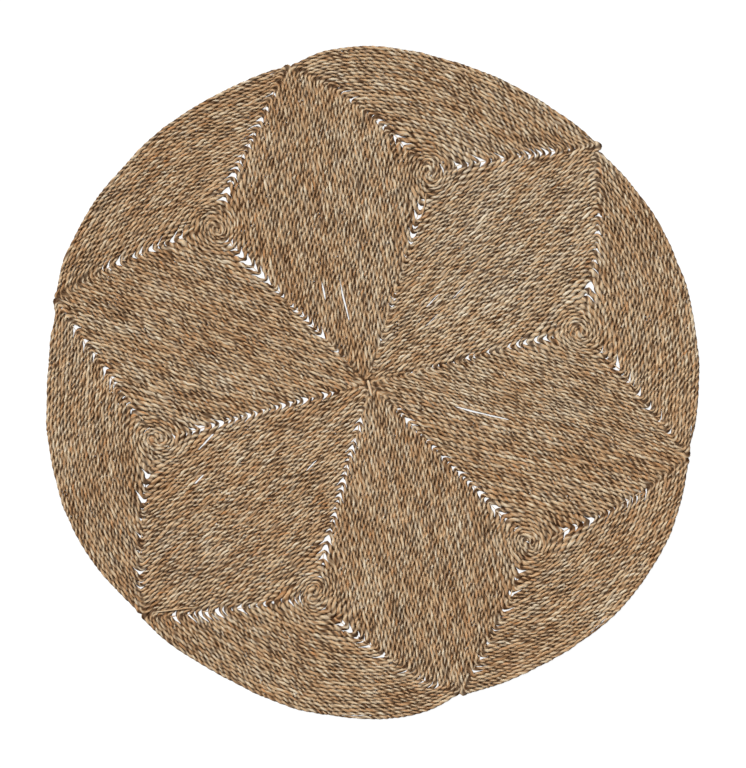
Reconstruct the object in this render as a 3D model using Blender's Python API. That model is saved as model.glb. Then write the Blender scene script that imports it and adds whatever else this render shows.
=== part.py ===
"""Round seagrass rug of six panels, each one twisted cord coiled into a sixth of the circle and sewn flat.

Each round of cord follows the panel's outline at its own distance from the edge, as far as the whorl in the
middle of the panel, so that the rounds turn at three mitres that run from the whorl to the panel's corners.
The rounds show as ribs on the upper face. Where a round turns its corner more widely than the next one, the
panel has an opening right through it. The underside is flat and lies on the floor.

Lengths are in metres, directions in degrees from +X, counterclockwise seen from above.
"""

import math
from dataclasses import dataclass

import bmesh
import bpy
import numpy as np

# The cord, and how it lies
THICKNESS = 0.008
GROOVE_DEPTH = 0.0022
EDGE_HEIGHT = 0.0045
SEAM_GAP = 0.0003
ROUNDS = 32
WHORL_CORD = 0.5
HAIRPIN = 0.007

# Rounds near the whorl are ovals, and reach the panel's own shape at the larger share of its size
OVAL_UNTIL = 0.10
CORNERS_FROM = 0.28

# A panel's outermost corners at the rim are cut off, which leaves a notch between two panels
NOTCH_CUT = 0.011
NOTCH_ROUNDS = 2

# Openings at the mitres: length along each side of the corner, the first round with one, and how many rounds
# share one figure in a panel's table
APEX_LEG = 0.0082
RIM_LEG = 0.0072
FIRST_OPEN_ROUND = 5
ROUNDS_A_FIGURE = 5
LAST_OPEN_ROUND = 27
MOST_OPEN = 3

RIM_SEGMENTS = 10
OVAL_SEGMENTS = 3
RIM_MIDDLE = 1.5
END_CORNER = 2
APEX = 3
START_CORNER = 4
SIDES = 3


@dataclass(frozen=True)
class Panel:
    """A panel's outline, its whorl, and how open its three mitres are from the edge inwards.

    start_deg is the seam it begins at, and rim the distance from the rug's middle to the rim at 0, 1/4, 1/2,
    3/4 and 1 of the panel. The gaps have a figure for every five rounds: 0 is closed, 1 open in one round of
    three, 2 in two of three, and 3 in every round.
    """

    name: str
    start_deg: float
    rim: tuple[float, ...]
    whorl_distance: float
    whorl_deg: float
    hairpin_deg: float
    apex_gaps: tuple[int, ...]
    start_gaps: tuple[int, ...]
    end_gaps: tuple[int, ...]


PANELS = (
    Panel("panel_east", -13.2, (0.7504, 0.7477, 0.7525, 0.7511, 0.7398), 0.4930, 13.9, 135,
          apex_gaps=(1, 2, 2, 2, 0), start_gaps=(1, 1, 2, 1, 1), end_gaps=(0, 1, 1, 2, 0)),
    Panel("panel_north_east", 45.4, (0.7523, 0.7500, 0.7552, 0.7638, 0.7479), 0.4965, 73.8, 110,
          apex_gaps=(1, 2, 3, 2, 1), start_gaps=(1, 3, 1, 1, 1), end_gaps=(0, 2, 0, 2, 0)),
    Panel("panel_north_west", 103.9, (0.7453, 0.7411, 0.7427, 0.7456, 0.7470), 0.4930, 134.8, 135,
          apex_gaps=(1, 3, 2, 3, 3), start_gaps=(1, 2, 3, 2, 0), end_gaps=(0, 2, 2, 2, 0)),
    Panel("panel_west", 164.8, (0.7445, 0.7290, 0.7438, 0.7481, 0.7365), 0.4970, 194.9, 170,
          apex_gaps=(2, 3, 3, 2, 1), start_gaps=(1, 1, 2, 0, 1), end_gaps=(2, 1, 1, 1, 0)),
    Panel("panel_south_west", 225.5, (0.7445, 0.7447, 0.7550, 0.7640, 0.7366), 0.4950, 255.3, 70,
          apex_gaps=(2, 3, 3, 3, 1), start_gaps=(1, 3, 1, 0, 3), end_gaps=(2, 1, 2, 2, 1)),
    Panel("panel_south_east", 286.4, (0.7400, 0.7518, 0.7665, 0.7650, 0.7463), 0.5105, 315.0, 135,
          apex_gaps=(3, 2, 3, 2, 1), start_gaps=(2, 2, 1, 1, 0), end_gaps=(0, 3, 1, 1, 0)),
)

# The panels' mean colours, linear RGB: their cords differ a little
CORD_COLOURS = (
    (0.330, 0.223, 0.133),
    (0.345, 0.236, 0.142),
    (0.300, 0.196, 0.115),
    (0.322, 0.215, 0.127),
    (0.318, 0.213, 0.126),
    (0.312, 0.207, 0.121),
)
CORD_ROUGHNESS = 0.72


def direction(degrees):
    """The unit vector in a direction."""
    angle = math.radians(degrees)
    return np.array([math.cos(angle), math.sin(angle)])


def smooth_step(low, high, value):
    """0 up to low, 1 from high on, and a smooth rise between them."""
    share = min(max((value - low) / (high - low), 0.0), 1.0)
    return share * share * (3 - 2 * share)


class PanelShape:
    """The rings of one panel. A ring is found by its share of the way from the whorl, 0, to the edge, 1.

    A place on a ring is a mark: 0 at the panel's point in the rug's middle, 1 at the rim corner by the start
    seam, 2 at the rim corner by the end seam, and 3 at the point again.
    """

    def __init__(self, panel, end_deg):
        self.panel = panel
        self.start_deg = panel.start_deg
        self.end_deg = end_deg
        self.rim_curve = np.polyfit(np.linspace(0, 1, len(panel.rim)), panel.rim, len(panel.rim) - 1)
        self.whorl = panel.whorl_distance * direction(panel.whorl_deg)
        from_start = math.radians(panel.whorl_deg - self.start_deg)
        to_end = math.radians(end_deg - panel.whorl_deg)
        self.start_depth = panel.whorl_distance * math.sin(from_start) - SEAM_GAP / 2
        self.end_depth = panel.whorl_distance * math.sin(to_end) - SEAM_GAP / 2
        self.rim_depth = self.rim_distance(panel.whorl_deg, 1.0) - panel.whorl_distance

    def rim_distance(self, degrees, share):
        """Distance from the rug's middle to a ring's outer run in a direction."""
        along = (degrees - self.start_deg) / (self.end_deg - self.start_deg)
        edge = float(np.polyval(self.rim_curve, along))
        return edge if share == 1.0 else edge - (1 - share) * self.rim_depth

    def apex(self, share):
        """Where a ring's two straight runs meet, near the rug's middle."""
        from_start = SEAM_GAP / 2 + (1 - share) * self.start_depth
        from_end = SEAM_GAP / 2 + (1 - share) * self.end_depth
        spread = math.sin(math.radians(self.end_deg - self.start_deg))
        return (from_end * direction(self.start_deg) + from_start * direction(self.end_deg)) / spread

    def rim_corner_deg(self, share, at_end):
        """Direction of the corner between a ring's outer run and a straight run, by repeated correction."""
        depth = self.end_depth if at_end else self.start_depth
        seam_deg, turn = (self.end_deg, -1) if at_end else (self.start_deg, 1)
        inset = SEAM_GAP / 2 + (1 - share) * depth
        found = seam_deg
        for _ in range(30):
            found = seam_deg + turn * math.degrees(math.asin(inset / self.rim_distance(found, share)))
        return found

    def cornered_point(self, mark, share):
        """The point at a mark of a ring with the panel's own shape."""
        start_corner_deg = self.rim_corner_deg(share, False)
        end_corner_deg = self.rim_corner_deg(share, True)
        mark %= SIDES
        if 1 <= mark <= 2:
            degrees = start_corner_deg + (mark - 1) * (end_corner_deg - start_corner_deg)
            return self.rim_distance(degrees, share) * direction(degrees)
        corner_deg = start_corner_deg if mark < 1 else end_corner_deg
        corner = self.rim_distance(corner_deg, share) * direction(corner_deg)
        along = mark if mark < 1 else SIDES - mark
        return self.apex(share) + along * (corner - self.apex(share))

    def point(self, mark, share):
        """The point at a mark of a ring. Near the whorl it is an oval as long as the cord's first hairpin."""
        cornered = self.cornered_point(mark, share)
        weight = smooth_step(OVAL_UNTIL, CORNERS_FROM, share)
        if weight == 1.0:
            return cornered
        out = cornered - self.whorl
        turn = math.atan2(out[1], out[0]) - math.radians(self.panel.hairpin_deg)
        width = share * (self.start_depth + self.end_depth) / 2
        long_axis = direction(self.panel.hairpin_deg)
        short_axis = direction(self.panel.hairpin_deg + 90)
        oval = (width + HAIRPIN) * math.cos(turn) * long_axis + width * math.sin(turn) * short_axis
        return self.whorl + weight * out + (1 - weight) * oval

    def side_length(self, mark, share):
        """Length of the side that a mark between two corners is on."""
        first, last = math.floor(mark), math.floor(mark) + 1
        steps = [self.point(first + 0.25 * i * (last - first), share) for i in range(5)]
        return sum(math.dist(a, b) for a, b in zip(steps, steps[1:]))

    def beside(self, corner, share, distance):
        """The marks at a distance before and after a corner."""
        before = corner - distance / self.side_length(corner - 0.5, share)
        after = corner + distance / self.side_length(corner + 0.5, share)
        return before, after

    def gap_leg(self, corner, round_number):
        """Length of the opening along the corner's two sides, or 0 where the rounds lie close."""
        panel = self.panel
        gaps = {END_CORNER: panel.end_gaps, APEX: panel.apex_gaps, START_CORNER: panel.start_gaps}
        if not FIRST_OPEN_ROUND <= round_number <= LAST_OPEN_ROUND:
            return 0.0
        figure = gaps[corner][(round_number - FIRST_OPEN_ROUND) // ROUNDS_A_FIGURE]
        if (round_number * figure) % MOST_OPEN >= figure:
            return 0.0
        return APEX_LEG if corner == APEX else RIM_LEG


def ring_marks(shape, share, cut=0.0, gap_round=None, inner=False):
    """The marks of a ring's points, from the middle of its outer run once round.

    cut is how much is taken off each rim corner. gap_round is the round whose openings lie on this ring, and
    inner leaves out the corner itself there, because what lies inside the opening meets its short side.
    The straight runs have points of their own only where the ring is rounded towards an oval.
    """
    step = 1 / RIM_SEGMENTS
    side_steps = [i / OVAL_SEGMENTS for i in range(1, OVAL_SEGMENTS)] if share < CORNERS_FROM else []
    marks = [RIM_MIDDLE + step * i for i in range(RIM_SEGMENTS // 2)]
    for corner in (END_CORNER, APEX, START_CORNER):
        leg = shape.gap_leg(corner, gap_round) if gap_round is not None else 0.0
        if leg:
            before, after = shape.beside(corner, share, leg)
            marks += [before, after] if inner else [before, corner, after]
        elif cut and corner != APEX:
            marks += shape.beside(corner, share, cut)
        else:
            marks.append(corner)
        if corner != START_CORNER:
            marks += [corner + along for along in side_steps]
    marks += [START_CORNER + step * i for i in range(1, RIM_SEGMENTS // 2)]
    return marks


def add_ring(mesh, shape, share, height, marks):
    """Adds a ring's vertices, as a list of (mark, vertex). The rug's own edge is lower than its seams."""
    ring = []
    for mark in marks:
        x, y = shape.point(mark, share) - shape.whorl
        at_rim = share == 1.0 and not END_CORNER < mark < START_CORNER
        ring.append((mark, mesh.verts.new((x, y, EDGE_HEIGHT if at_rim else height))))
    return ring


def join_rings(mesh, outer, inner):
    """Fills the strip between two closed rings, each time with the vertex whose mark comes first."""
    outer = outer + [(outer[0][0] + SIDES, outer[0][1])]
    inner = inner + [(inner[0][0] + SIDES, inner[0][1])]
    i = j = 0
    while i < len(outer) - 1 or j < len(inner) - 1:
        next_outer = outer[i + 1][0] if i < len(outer) - 1 else math.inf
        next_inner = inner[j + 1][0] if j < len(inner) - 1 else math.inf
        if math.isclose(next_outer, next_inner):
            mesh.faces.new((outer[i][1], outer[i + 1][1], inner[j + 1][1], inner[j][1]))
            i, j = i + 1, j + 1
        elif next_outer < next_inner:
            mesh.faces.new((outer[i][1], outer[i + 1][1], inner[j][1]))
            i += 1
        else:
            mesh.faces.new((outer[i][1], inner[j + 1][1], inner[j][1]))
            j += 1


def add_upper_face(mesh, shape):
    """The ribbed upper face: from the edge inwards, a groove and then a ridge for each round of cord."""
    rounds_deep = ROUNDS - WHORL_CORD
    ridge = None
    for number in range(ROUNDS):
        share = 1 - number / rounds_deep
        cut = NOTCH_CUT * max(0.0, 1 - number / NOTCH_ROUNDS)
        marks = ring_marks(shape, share, cut, gap_round=number)
        groove = add_ring(mesh, shape, share, THICKNESS - GROOVE_DEPTH, marks)
        if ridge:
            join_rings(mesh, ridge, groove)
        kept = set(ring_marks(shape, share, cut, gap_round=number, inner=True))
        groove = [(mark, vertex) for mark, vertex in groove if mark in kept]
        if number < ROUNDS - 1:
            share = 1 - (number + 0.5) / rounds_deep
            cut = NOTCH_CUT * max(0.0, 1 - (number + 0.5) / NOTCH_ROUNDS)
            ridge = add_ring(mesh, shape, share, THICKNESS, ring_marks(shape, share, cut))
            join_rings(mesh, groove, ridge)
    middle = mesh.verts.new((0, 0, THICKNESS))
    for (_, first), (_, second) in zip(groove, groove[1:] + groove[:1]):
        mesh.faces.new((first, second, middle))


def close_below(mesh):
    """Walls straight down from the edge and from every opening, and the flat underside between them."""
    open_edges = [edge for edge in mesh.edges if edge.is_boundary]
    made = bmesh.ops.extrude_edge_only(mesh, edges=open_edges)["geom"]
    low = {item for item in made if isinstance(item, bmesh.types.BMVert)}
    for vertex in low:
        vertex.co.z = 0
    rims = [edge for edge in made if isinstance(edge, bmesh.types.BMEdge) and set(edge.verts) <= low]
    bmesh.ops.triangle_fill(mesh, use_beauty=True, use_dissolve=False, edges=rims, normal=(0, 0, -1))


def cord_material(name, colour):
    """Dry seagrass, dull and light brown."""
    material = bpy.data.materials.new(name)
    material.use_nodes = True
    material.diffuse_color = (*colour, 1.0)
    shader = material.node_tree.nodes["Principled BSDF"]
    shader.inputs["Base Color"].default_value = (*colour, 1.0)
    shader.inputs["Roughness"].default_value = CORD_ROUGHNESS
    shader.inputs["Metallic"].default_value = 0.0
    return material


def outline_middle(shapes):
    """The middle of the rug's outline, halfway between its furthest points both ways."""
    marks = [(shape, ring_marks(shape, 1.0, NOTCH_CUT)) for shape in shapes]
    points = np.array([shape.point(mark, 1.0) for shape, found in marks for mark in found])
    return (points.min(axis=0) + points.max(axis=0)) / 2


def build_panel(shape, place, colour):
    """One panel as an object whose origin is at its whorl on the underside."""
    mesh = bmesh.new()
    add_upper_face(mesh, shape)
    close_below(mesh)
    bmesh.ops.recalc_face_normals(mesh, faces=mesh.faces)
    data = bpy.data.meshes.new(shape.panel.name)
    mesh.to_mesh(data)
    mesh.free()
    data.materials.append(cord_material(shape.panel.name + "_cord", colour))
    obj = bpy.data.objects.new(shape.panel.name, data)
    obj.location = (*place, 0)
    return obj


def main():
    """Clears the scene and builds the six panels around the middle of the rug."""
    for obj in list(bpy.data.objects):
        bpy.data.objects.remove(obj, do_unlink=True)
    collection = bpy.data.collections.new("round_rug")
    bpy.context.scene.collection.children.link(collection)
    holder = bpy.data.objects.new("round_rug_frame", None)
    collection.objects.link(holder)

    ends = [panel.start_deg for panel in PANELS[1:]] + [PANELS[0].start_deg + 360]
    shapes = [PanelShape(panel, end) for panel, end in zip(PANELS, ends)]
    middle = outline_middle(shapes)
    for shape, colour in zip(shapes, CORD_COLOURS):
        obj = build_panel(shape, shape.whorl - middle, colour)
        obj.parent = holder
        collection.objects.link(obj)


main()
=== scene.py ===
"""Looks of the round seagrass rug: six coiled panels of two-ply cord, their sewing, floor and light.

Each panel is one continuous cord. Its line follows the panel's outline inwards, round after round, and
turns at three mitres as far as the whorl in the panel's middle. The cord is a profile with two lobes, one
for each ply, that turns as it is carried along that line. Lengths are in metres in the part's own frame,
and directions in degrees from +X, counterclockwise seen from above.
"""

import logging
import math
from dataclasses import dataclass
from enum import Enum

import bpy
import numpy as np
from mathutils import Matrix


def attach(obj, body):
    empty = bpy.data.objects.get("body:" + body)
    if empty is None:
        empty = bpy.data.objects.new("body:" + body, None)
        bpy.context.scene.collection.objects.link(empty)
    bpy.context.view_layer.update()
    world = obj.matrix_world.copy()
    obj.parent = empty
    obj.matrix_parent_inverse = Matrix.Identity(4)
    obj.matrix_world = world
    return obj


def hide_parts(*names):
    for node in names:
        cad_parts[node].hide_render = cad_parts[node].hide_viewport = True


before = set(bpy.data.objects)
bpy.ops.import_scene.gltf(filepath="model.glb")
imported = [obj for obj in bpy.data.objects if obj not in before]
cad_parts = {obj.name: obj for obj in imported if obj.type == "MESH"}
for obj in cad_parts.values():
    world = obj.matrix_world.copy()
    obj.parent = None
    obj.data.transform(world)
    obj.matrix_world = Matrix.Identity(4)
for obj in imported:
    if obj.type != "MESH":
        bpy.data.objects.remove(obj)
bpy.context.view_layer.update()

Array = np.ndarray
Colour = tuple[float, float, float]

RIDES_ON = "root"

# The starts of the random numbers: the rug's lie, the first panel's cord and the first panel's sewing
LIE_SEED = 7
CORD_SEED = 100
SEWING_SEED = 200

# The coil, as the panels' solids have it: its rounds, the part of a cord left in the whorl's middle, the gap
# of a seam, the hairpin's length and the shares of the way out over which ovals become rings with corners
ROUNDS = 31
WHORL_CORD = 0.5
SEAM_GAP = 0.0003
HAIRPIN = 0.007
OVAL_UNTIL = 0.08
CORNERS_FROM = 0.36

# The rounds that may part at the corners, and a table of gaps' rounds to each figure and its highest figure
FIRST_OPEN_ROUND = 5
LAST_OPEN_ROUND = 27
ROUNDS_A_FIGURE = 5
MOST_OPEN = 3


class Corner(Enum):
    """The three corners at which every round of a panel turns, in the order that the cord meets them."""

    END = 0
    APEX = 1
    START = 2


@dataclass(frozen=True)
class Panel:
    """One panel's outline, whorl and mitres, with the sizes that its solid has.

    start_deg is the seam it begins at, rim the distance from the rug's middle to the rim at 0, 1/4, 1/2,
    3/4 and 1 of the panel, and cord_end_deg where the cord's outer end lies on the rim. loose is a factor on
    how wide the gaps stand open at each corner, rim_turns the lengths over which the outermost round turns
    at its start and end corner, and sags how far the rim falls in towards them. gaps has a row for each
    corner, with a figure for every five rounds: 0 is closed, 1 open in one round of three, 2 in two and 3
    in all.
    """

    name: str
    start_deg: float
    rim: tuple[float, ...]
    whorl_distance: float
    whorl_deg: float
    hairpin_deg: float
    cord_end_deg: float
    loose: tuple[float, float, float]
    rim_turns: tuple[float, float]
    sags: tuple[float, float]
    gaps: tuple[tuple[int, ...], ...]

    def is_open(self, corner: Corner, number: int) -> bool:
        """Whether a round parts from the one outside it.

        Args:
            corner: The corner at which they would part.
            number: The round, counted from the rim.

        Returns:
            True where the table of gaps says so.
        """
        if not FIRST_OPEN_ROUND <= number <= LAST_OPEN_ROUND:
            return False
        figure = self.gaps[corner.value][(number - FIRST_OPEN_ROUND) // ROUNDS_A_FIGURE]
        return (number * figure) % MOST_OPEN < figure


PANELS = (
    Panel("panel_east", -13.2, (0.7504, 0.7477, 0.7525, 0.7511, 0.7398), 0.4930, 13.9, 135, -7.3,
          loose=(0.85, 0.72, 0.95), rim_turns=(0.018, 0.016), sags=(0.006, 0.0),
          gaps=((0, 1, 1, 2, 0), (1, 2, 2, 2, 0), (1, 1, 2, 1, 1))),
    Panel("panel_north_east", 45.4, (0.7523, 0.7500, 0.7552, 0.7638, 0.7479), 0.4965, 73.8, 110, 49.0,
          loose=(0.60, 0.55, 1.60), rim_turns=(0.016, 0.016), sags=(0.0, 0.008),
          gaps=((0, 2, 0, 2, 0), (1, 2, 3, 2, 1), (1, 3, 1, 1, 1))),
    Panel("panel_north_west", 103.9, (0.7453, 0.7411, 0.7427, 0.7456, 0.7470), 0.4930, 134.8, 135, 107.0,
          loose=(1.00, 1.48, 1.25), rim_turns=(0.016, 0.016), sags=(0.001, 0.008),
          gaps=((0, 2, 2, 2, 0), (1, 3, 2, 3, 3), (1, 2, 3, 2, 0))),
    Panel("panel_west", 164.8, (0.7445, 0.7290, 0.7438, 0.7481, 0.7365), 0.4970, 194.9, 170, 171.0,
          loose=(1.05, 0.95, 1.50), rim_turns=(0.014, 0.016), sags=(0.004, 0.0),
          gaps=((2, 1, 1, 1, 0), (2, 3, 3, 2, 1), (1, 1, 2, 0, 1))),
    Panel("panel_south_west", 225.5, (0.7445, 0.7447, 0.7550, 0.7640, 0.7366), 0.4950, 255.3, 70, 271.7,
          loose=(0.85, 1.38, 1.65), rim_turns=(0.018, 0.016), sags=(0.003, 0.006),
          gaps=((2, 1, 2, 2, 1), (2, 3, 3, 3, 1), (1, 3, 1, 0, 3))),
    Panel("panel_south_east", 286.4, (0.7400, 0.7518, 0.7665, 0.7650, 0.7463), 0.5105, 315.0, 135, 316.9,
          loose=(0.82, 0.95, 0.90), rim_turns=(0.018, 0.016), sags=(0.003, 0.0),
          gaps=((0, 3, 1, 1, 0), (3, 2, 3, 2, 1), (2, 2, 1, 1, 0))),
)


@dataclass(frozen=True)
class Slit:
    """A long thin opening between two rounds, with its ends in metres from the panels' meeting point."""

    start: tuple[float, float]
    end: tuple[float, float]
    width: float


SLITS = (
    Slit((-0.066, 0.247), (-0.048, 0.143), 0.0020),
    Slit((-0.107, 0.227), (-0.102, 0.191), 0.0014),
    Slit((0.218, 0.225), (0.191, 0.188), 0.0026),
    Slit((0.157, 0.202), (0.129, 0.179), 0.0026),
    Slit((0.157, 0.159), (0.120, 0.127), 0.0022),
    Slit((0.200, -0.050), (0.316, -0.082), 0.0020),
    Slit((-0.359, -0.116), (-0.388, -0.148), 0.0014),
    Slit((-0.377, -0.213), (-0.393, -0.227), 0.0022),
    Slit((-0.123, -0.175), (-0.134, -0.197), 0.0022),
)


def direction(degrees: Array | float) -> Array:
    """Unit vectors in directions, with x and y on the last axis.

    Args:
        degrees: The directions.

    Returns:
        An array with one more axis than degrees, of length 2.
    """
    angle = np.radians(degrees)
    return np.stack([np.cos(angle), np.sin(angle)], axis=-1)


def smooth_step(low: float, high: float, value: Array) -> Array:
    """A smooth rise, t * t * (3 - 2 t) with t the share of the way from low to high.

    Args:
        low: Where it is still 0.
        high: Where it becomes 1.
        value: The values to turn into shares.

    Returns:
        Shares from 0 to 1, one for each value.
    """
    share = np.clip((value - low) / (high - low), 0.0, 1.0)
    return share * share * (3 - 2 * share)


def bump(value: Array, reach: float | Array) -> Array:
    """A smooth hump, (1 - (t / reach)^2)^2, which is 1 in its middle and 0 from reach on.

    Args:
        value: Distances t from the middle.
        reach: The half width, for all or for each.

    Returns:
        Heights from 0 to 1, one for each value.
    """
    return np.clip(1 - (value / reach) ** 2, 0.0, None) ** 2


def wavering(along: Array, wavelength: float, rng: np.random.Generator) -> Array:
    """Smooth noise along a line: random heights at even steps, joined by half cosine waves.

    Args:
        along: Distances along the line, rising.
        wavelength: The step between two heights.
        rng: Where the heights come from.

    Returns:
        Values of about -1 to 1, one for each distance.
    """
    place = (along - along[0]) / wavelength
    heights = rng.uniform(-1, 1, int(place[-1]) + 3)
    step = place.astype(int)
    share = (1 - np.cos(np.pi * (place - step))) / 2
    return heights[step] + share * (heights[step + 1] - heights[step])


class PanelOutline:
    """The rings of a panel, each found by its share of the way from the whorl, 0, to the edge, 1."""

    SAG_REACH = 0.12
    SAGS_FROM = 0.55
    CORRECTIONS = 30
    RIM_POINTS = 200
    AREA_POINTS = 400

    def __init__(self, panel: Panel, end_deg: float) -> None:
        """Works out the depths from each side to the whorl.

        Args:
            panel: The panel's row of sizes.
            end_deg: The seam that it ends at.
        """
        self.panel = panel
        self.start_deg = panel.start_deg
        self.end_deg = end_deg
        self.rim_curve = np.polyfit(np.linspace(0, 1, len(panel.rim)), panel.rim, len(panel.rim) - 1)
        self.whorl = panel.whorl_distance * direction(panel.whorl_deg)
        from_start = math.radians(panel.whorl_deg - self.start_deg)
        to_end = math.radians(end_deg - panel.whorl_deg)
        self.start_depth = panel.whorl_distance * math.sin(from_start) - SEAM_GAP / 2
        self.end_depth = panel.whorl_distance * math.sin(to_end) - SEAM_GAP / 2
        self.rim_depth = 0.0
        self.rim_depth = float(self.rim_distance(panel.whorl_deg, 1.0)) - panel.whorl_distance

    def rim_distance(self, degrees: Array | float, share: Array | float) -> Array:
        """The rim's curve, less its sags near the seams and the ring's depth below it.

        Args:
            degrees: Directions within the panel.
            share: The rings' shares.

        Returns:
            The distance from the rug's middle to a ring's outer run, one for each direction and share.
        """
        along = (degrees - self.start_deg) / (self.end_deg - self.start_deg)
        sags = self.panel.sags
        sag = sags[0] * bump(along, self.SAG_REACH) + sags[1] * bump(1 - along, self.SAG_REACH)
        sag *= smooth_step(self.SAGS_FROM, 1.0, share)
        return np.polyval(self.rim_curve, along) - sag - (1 - share) * self.rim_depth

    def rim_point(self, degrees: Array, share: Array) -> Array:
        """Points on the rings' outer runs, as x and y."""
        return self.rim_distance(degrees, share)[:, None] * direction(degrees)

    def rim_line(self) -> Array:
        """Points along the panel's rim, for the middle of the whole outline."""
        degrees = np.linspace(self.start_deg, self.end_deg, self.RIM_POINTS)
        return self.rim_point(degrees, np.ones_like(degrees))

    def flat_area(self) -> float:
        """The area: half the sum of squared rim distances times the steps in angle.

        Returns:
            Square metres.
        """
        degrees = np.linspace(self.start_deg, self.end_deg, self.AREA_POINTS)
        squares = self.rim_distance(degrees, np.ones_like(degrees)) ** 2
        return float(np.sum((squares[1:] + squares[:-1]) / 4) * math.radians(degrees[1] - degrees[0]))

    def apex(self, share: Array) -> Array:
        """Where a ring's two straight runs meet: two lines beside the seams cross, at the ring's depths.

        Args:
            share: The rings' shares.

        Returns:
            One point, as x and y, for each ring.
        """
        from_start = SEAM_GAP / 2 + (1 - share) * self.start_depth
        from_end = SEAM_GAP / 2 + (1 - share) * self.end_depth
        spread = math.sin(math.radians(self.end_deg - self.start_deg))
        sides = from_end[:, None] * direction(self.start_deg) + from_start[:, None] * direction(self.end_deg)
        return sides / spread

    def rim_corner_deg(self, share: Array, at_end: bool) -> Array:
        """Directions of the corners where outer run and straight run meet, found by repeated correction.

        Args:
            share: The rings' shares.
            at_end: Whether it is the corner by the panel's end seam.

        Returns:
            One direction for each ring.
        """
        depth = self.end_depth if at_end else self.start_depth
        seam_deg, turn = (self.end_deg, -1) if at_end else (self.start_deg, 1)
        inset = SEAM_GAP / 2 + (1 - share) * depth
        found = np.full_like(share, seam_deg)
        for _ in range(self.CORRECTIONS):
            found = seam_deg + turn * np.degrees(np.arcsin(inset / self.rim_distance(found, share)))
        return found


@dataclass(frozen=True)
class CordSize:
    """The cord's size and twist.

    radius is from the cord's middle to the top of a ply, shoulder and waist are the same on a ply's shoulder
    and between the plies, and side is how far the cord fills out where the next round presses it. half_width
    is how far it reaches to a side where nothing presses it, and slimmer the share that it loses in an open
    corner. The pressed lengths are how far two rounds reach into each other, narrowest and widest the least
    and the most that the cord may reach, and widest_gap is the most that two rounds part in a corner.
    """

    pitch: float = 0.0079
    radius: float = 0.0040
    shoulder: float = 0.0032
    waist: float = 0.0018
    side: float = 0.00435
    flatness: float = 0.9
    half_width: float = 0.0038
    slimmer: float = 0.03
    pressed: float = 0.0003
    pressed_corner: float = 0.0008
    pressed_whorl: float = 0.0020
    narrowest: float = 0.0029
    widest: float = 0.0105
    widest_gap: float = 0.0088
    shoulder_deg: float = 35.0
    lay: float = 0.036
    ring_step: float = 0.0042
    height: float = 0.0040
    end_taper: float = 0.012


@dataclass(frozen=True)
class CornerHabit:
    """How a cord turns, each as the least and the most.

    turn is the length that the turn takes, drawn_in how far it is pulled towards the whorl, openness how far
    the gap outside it stays open, and aside how far from the corner, towards the rim's run, that gap lies.
    """

    turn: tuple[float, float]
    drawn_in: tuple[float, float] = (0.0, 0.0)
    openness: tuple[float, float] = (0.0, 0.0)
    aside: tuple[float, float] = (0.0, 0.0)


OPEN_APEX = CornerHabit((0.018, 0.030), drawn_in=(0.0, 0.0022), openness=(0.35, 1.2), aside=(-0.004, 0.004))
OPEN_RIM = CornerHabit((0.024, 0.044), drawn_in=(0.0, 0.0032), openness=(0.35, 1.2), aside=(0.0, 0.014))
CLOSED_APEX = CornerHabit((0.009, 0.015))
CLOSED_RIM = CornerHabit((0.016, 0.028))


@dataclass
class CordLine:
    """The line of a cord in fine steps.

    turn counts the rounds from the outer end, crowding is 1 in a corner and 0 away from it, closed_out and
    closed_in tell how far the cord fills the room to the rounds beside it, rim_fill how far it spreads
    outwards where there is no round, and taper is a factor on its thickness.
    """

    points: Array
    turn: Array
    crowding: Array
    closed_out: Array
    closed_in: Array
    rim_fill: Array
    taper: Array


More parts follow.
